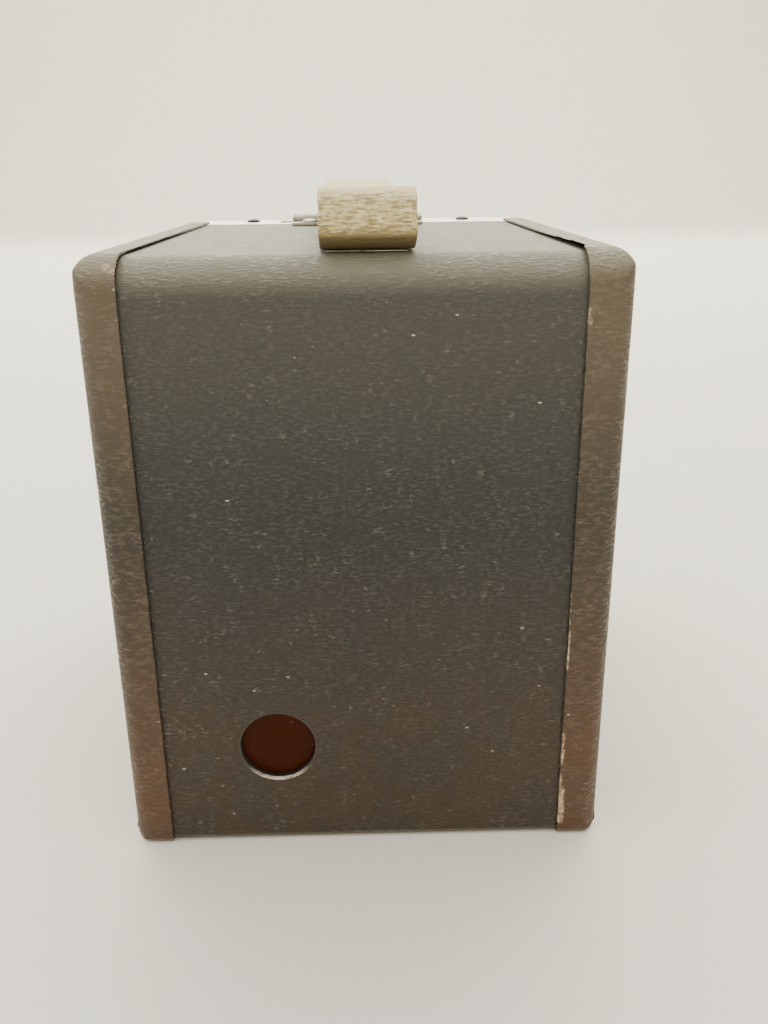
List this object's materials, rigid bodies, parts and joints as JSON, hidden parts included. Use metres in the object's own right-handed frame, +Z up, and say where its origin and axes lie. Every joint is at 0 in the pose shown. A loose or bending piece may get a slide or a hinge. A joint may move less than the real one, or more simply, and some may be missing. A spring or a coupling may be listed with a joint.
{
  "type": "box camera",
  "caption": "Leather-covered roll-film box camera with a carrying strap, a rear film window and a film carrier that slides out of the front.",
  "frame": {"origin": "bottom centre of the whole part's box, on the surface that the camera stands on", "axes": "+X to the right seen from behind the camera, +Y from the rear face towards the lens, +Z up"},
  "size_m": [0.0946, 0.1194, 0.1141],
  "materials": {
    "leather_covering": "rubbed black leather-grain cloth",
    "strap_leather": "worn pale leather, cracked",
    "black_steel": "satin black enamel",
    "bright_nickel": "nickel plate, dulled",
    "dark_steel": "blued steel",
    "spring_steel": "plain steel, slightly dull",
    "optical_glass": "polished",
    "mirror_glass": "silvered",
    "red_celluloid": "dark red, slightly cloudy",
    "cone_black": "dead matt black",
    "spool_black": "black lacquer"
  },
  "bodies": {
    "case": {"case_wrap": "black_steel", "centre_covering": "leather_covering", "left_side_panel": "black_steel", "right_side_panel": "black_steel", "left_covering": "leather_covering", "right_covering": "leather_covering", "red_window": "red_celluloid", "window_ring": "dark_steel", "strap": "strap_leather", "strap_stud_rear": "bright_nickel", "strap_stud_front": "bright_nickel", "catch_base": "spring_steel", "catch_rivet_left": "spring_steel", "catch_rivet_right": "spring_steel", "winding_key_bush": "bright_nickel"},
    "catch": {"catch_leaf": "spring_steel", "catch_hinge_pin": "dark_steel"},
    "key_slider": {"winding_shaft_clip": "dark_steel"},
    "winding_key": {"winding_knob": "bright_nickel", "winding_shaft": "bright_nickel"},
    "film_unit": {"front_frame": "bright_nickel", "catch_stud": "bright_nickel", "front_plate": "black_steel", "front_covering": "leather_covering", "shutter_bezel": "bright_nickel", "lens_board": "black_steel", "frame_screw_top_left": "dark_steel", "frame_screw_top_right": "dark_steel", "frame_screw_bottom_left": "dark_steel", "frame_screw_bottom_right": "dark_steel", "light_cone": "cone_black", "gate_plate": "black_steel", "left_wall": "black_steel", "right_wall": "black_steel", "take_up_pivot_spring": "spring_steel", "supply_pivot_spring_left": "spring_steel", "supply_pivot_spring_right": "spring_steel", "lens_ring": "black_steel", "lens": "optical_glass", "lens_retaining_ring": "bright_nickel", "shutter_plate": "black_steel", "lever_spring": "spring_steel", "slide_guide": "black_steel", "top_finder_block": "cone_black", "top_finder_mirror": "mirror_glass", "top_finder_lens": "optical_glass", "top_finder_glass": "optical_glass", "side_finder_block": "cone_black", "side_finder_mirror": "mirror_glass", "side_finder_lens": "optical_glass", "side_finder_glass": "optical_glass"},
    "take_up_spool": {"take_up_spool": "spool_black"},
    "winding_dog": {"winding_dog": "spring_steel"},
    "top_roller": {"top_roller": "bright_nickel"},
    "bottom_roller": {"bottom_roller": "bright_nickel"},
    "shutter_disc": {"shutter_disc": "dark_steel"},
    "release_lever": {"release_lever": "dark_steel"},
    "stop_slide": {"stop_slide": "dark_steel"},
    "time_slide": {"time_slide": "dark_steel"}
  },
  "joints": [
    {"name": "film_unit_slide", "type": "slide", "parent": "case", "child": "film_unit", "axis": [0, 1, 0], "range_m": [0, 0.1], "deforming": ["catch_leaf"]},
    {"name": "catch_lift", "type": "hinge", "parent": "case", "child": "catch", "pos_m": [-0.0048, 0.03075, 0.1054], "axis": [1, 0, 0], "range_deg": [0, 6], "stiffness_Nm_per_rad": 0.05},
    {"name": "winding_key_pull", "type": "slide", "parent": "case", "child": "key_slider", "axis": [1, 0, 0], "range_m": [0, 0.003]},
    {"name": "winding_key_turn", "type": "hinge", "parent": "key_slider", "child": "winding_key", "pos_m": [0.0402, 0.00425, 0.089], "axis": [1, 0, 0], "continuous": true},
    {"name": "winding_dog_turn", "type": "hinge", "parent": "film_unit", "child": "winding_dog", "pos_m": [0.0292, 0.00425, 0.089], "axis": [1, 0, 0], "continuous": true},
    {"name": "take_up_spool_turn", "type": "hinge", "parent": "film_unit", "child": "take_up_spool", "pos_m": [-0.0048, 0.00425, 0.089], "axis": [1, 0, 0], "continuous": true},
    {"name": "top_roller_turn", "type": "hinge", "parent": "film_unit", "child": "top_roller", "pos_m": [-0.0048, -0.05175, 0.0979], "axis": [1, 0, 0], "continuous": true},
    {"name": "bottom_roller_turn", "type": "hinge", "parent": "film_unit", "child": "bottom_roller", "pos_m": [-0.0048, -0.05175, 0.0069], "axis": [1, 0, 0], "continuous": true},
    {"name": "release_lever_turn", "type": "hinge", "parent": "film_unit", "child": "release_lever", "pos_m": [0.0212, 0.05185, 0.046], "axis": [0, 1, 0], "range_deg": [0, 24], "stiffness_Nm_per_rad": 0.01},
    {"name": "shutter_disc_turn", "type": "hinge", "parent": "film_unit", "child": "shutter_disc", "pos_m": [-0.0188, 0.0497, 0.0524], "axis": [0, 1, 0], "range_deg": [-72, 0]},
    {"name": "stop_slide_lift", "type": "slide", "parent": "film_unit", "child": "stop_slide", "axis": [0, 0, 1], "range_m": [0, 0.008]},
    {"name": "time_slide_lift", "type": "slide", "parent": "film_unit", "child": "time_slide", "axis": [0, 0, 1], "range_m": [0, 0.006]}
  ],
  "couplings": [
    {"joint": "winding_dog_turn", "follows": "winding_key_turn", "ratio": 1},
    {"joint": "take_up_spool_turn", "follows": "winding_key_turn", "ratio": 1},
    {"joint": "shutter_disc_turn", "follows": "release_lever_turn", "ratio": -3}
  ]
}
